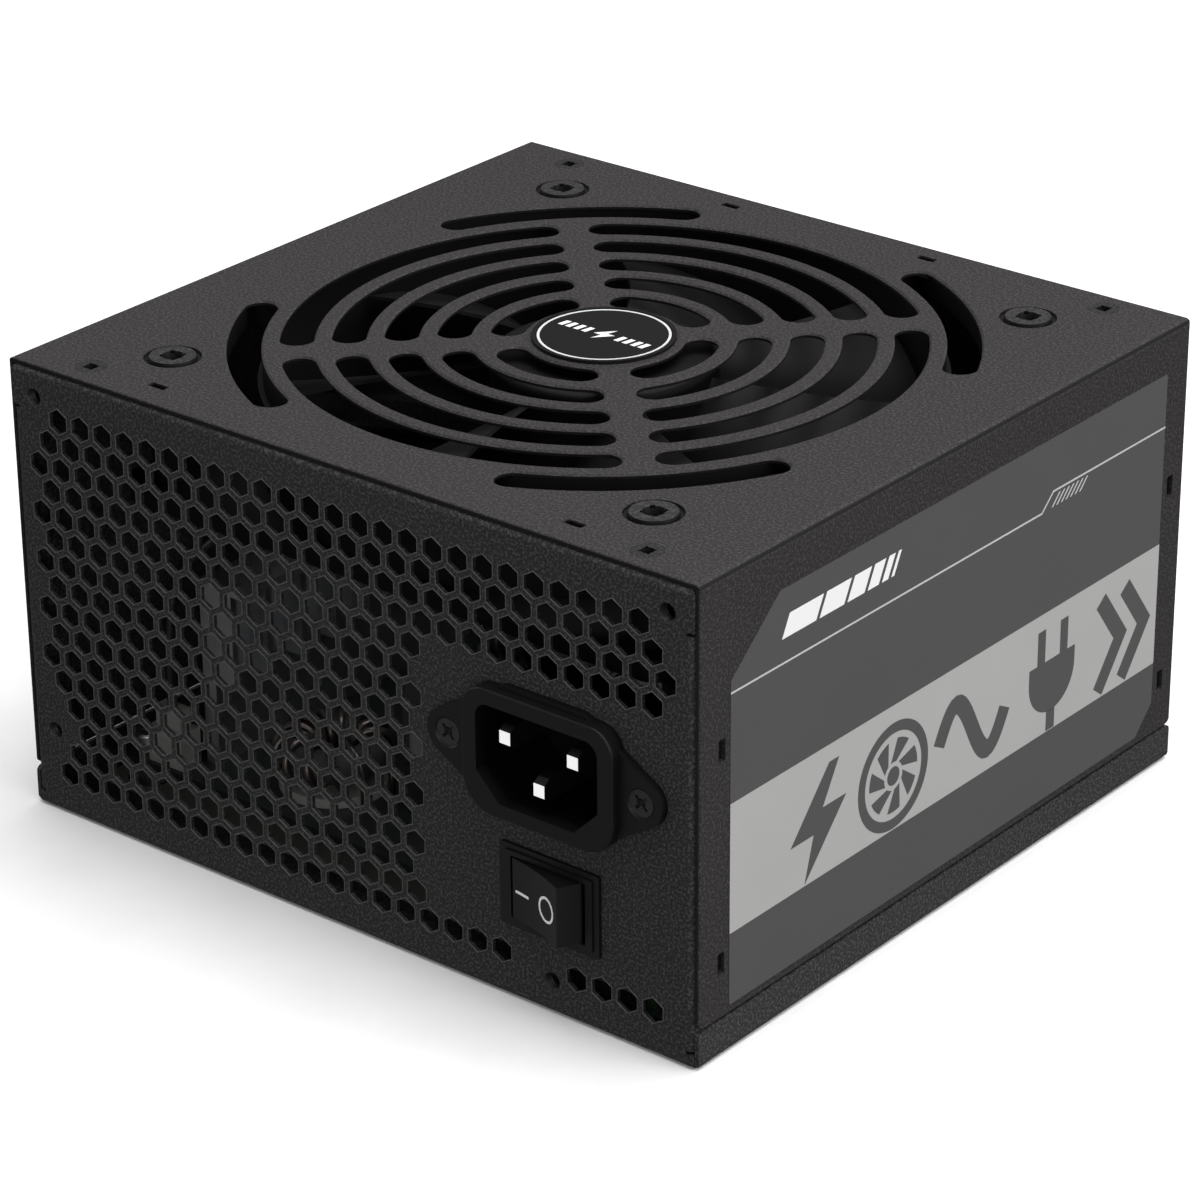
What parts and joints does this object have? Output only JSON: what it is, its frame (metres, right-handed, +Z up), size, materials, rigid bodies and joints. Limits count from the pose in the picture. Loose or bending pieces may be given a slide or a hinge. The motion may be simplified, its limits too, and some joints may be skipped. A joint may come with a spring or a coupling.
{
  "type": "computer power supply unit",
  "caption": "Desktop computer power supply: bent sheet case, round-slotted fan grille, honeycomb rear vent, mains inlet and rocker switch, with fan and circuit board inside.",
  "frame": {"origin": "middle of the case's underside", "axes": "+Z up through the fan grille, -Y out of the rear panel with the mains inlet, +X to the right seen from behind the rear panel"},
  "size_m": [0.1502, 0.1463, 0.0866],
  "materials": {
    "case": "fine textured powder coat",
    "badge": "gloss with a bright rim",
    "label": "satin printed film",
    "black_screw": "black zinc",
    "black_plastic": "satin moulded",
    "fan_plastic": "satin moulded",
    "white_plastic": "satin moulded",
    "contact_metal": "bright tin plate",
    "plain_steel": "plain",
    "bronze": "plain",
    "copper": "enamelled wire",
    "ferrite": "matt ceramic",
    "board": "laminate with solder",
    "can_sleeve": "shrink sleeve",
    "heatsink_metal": "extruded",
    "yellow_tape": "wrapped tape",
    "blue_ceramic": "dipped",
    "glass": "clear",
    "wire_black": "insulated wire",
    "wire_green": "insulated wire"
  },
  "bodies": {
    "case": {"chassis": "case", "top_cover": "case", "grille_badge": "badge", "side_label_right": "label", "side_label_left": "label", "cover_screws": "black_screw", "cable_grommet": "black_plastic", "inlet_body": "black_plastic", "inlet_pins": "contact_metal", "inlet_screws": "black_screw", "inlet_nuts": "plain_steel", "switch_housing": "black_plastic", "switch_terminals": "contact_metal", "fan_frame": "fan_plastic", "fan_screws": "black_screw", "fan_bearing": "bronze", "fan_stator": "plain_steel", "fan_coils": "copper", "fan_driver_board": "board", "fan_lead": "black_plastic", "fan_plug": "white_plastic", "fan_socket": "white_plastic", "main_board": "board", "board_insulator": "white_plastic", "board_standoffs": "bronze", "board_screws": "plain_steel", "bulk_capacitor": "can_sleeve", "output_capacitors": "can_sleeve", "primary_heatsink": "heatsink_metal", "secondary_heatsink": "heatsink_metal", "primary_transistors": "black_plastic", "output_rectifiers": "black_plastic", "bridge_rectifier": "black_plastic", "main_transformer_core": "ferrite", "main_transformer_winding": "yellow_tape", "standby_transformer_core": "ferrite", "standby_transformer_winding": "yellow_tape", "transformer_bobbins": "black_plastic", "choke_cores": "ferrite", "choke_windings": "copper", "choke_seats": "black_plastic", "x_capacitor": "yellow_tape", "y_capacitors": "blue_ceramic", "fuse": "glass", "fuse_clips": "contact_metal", "thermistor": "ferrite", "control_board": "board", "optocouplers": "black_plastic", "mains_leads": "wire_black", "earth_lead": "wire_green", "earth_tag": "contact_metal"},
    "fan_rotor": {"fan_rotor": "fan_plastic", "fan_shaft": "plain_steel", "fan_retaining_clip": "black_plastic", "fan_yoke": "plain_steel", "fan_magnet_ring": "ferrite"},
    "rocker": {"switch_rocker": "black_plastic", "switch_plunger": "contact_metal", "switch_spring": "plain_steel"},
    "contact_arm": {"switch_contact_arm": "contact_metal"}
  },
  "joints": [
    {"name": "fan_spin", "type": "hinge", "parent": "case", "child": "fan_rotor", "pos_m": [0, 0, 0.0727], "axis": [0, 0, 1], "continuous": true},
    {"name": "switch_rock", "type": "hinge", "parent": "case", "child": "rocker", "pos_m": [0.0451, -0.0688, 0.0216], "axis": [0, 0, 1], "range_deg": [0, 32]},
    {"name": "contact_rock", "type": "hinge", "parent": "case", "child": "contact_arm", "pos_m": [0.0451, -0.0612, 0.0216], "axis": [0, 0, 1], "range_deg": [-16, 0]}
  ],
  "couplings": [
    {"joint": "contact_rock", "follows": "switch_rock", "ratio": -0.5}
  ]
}
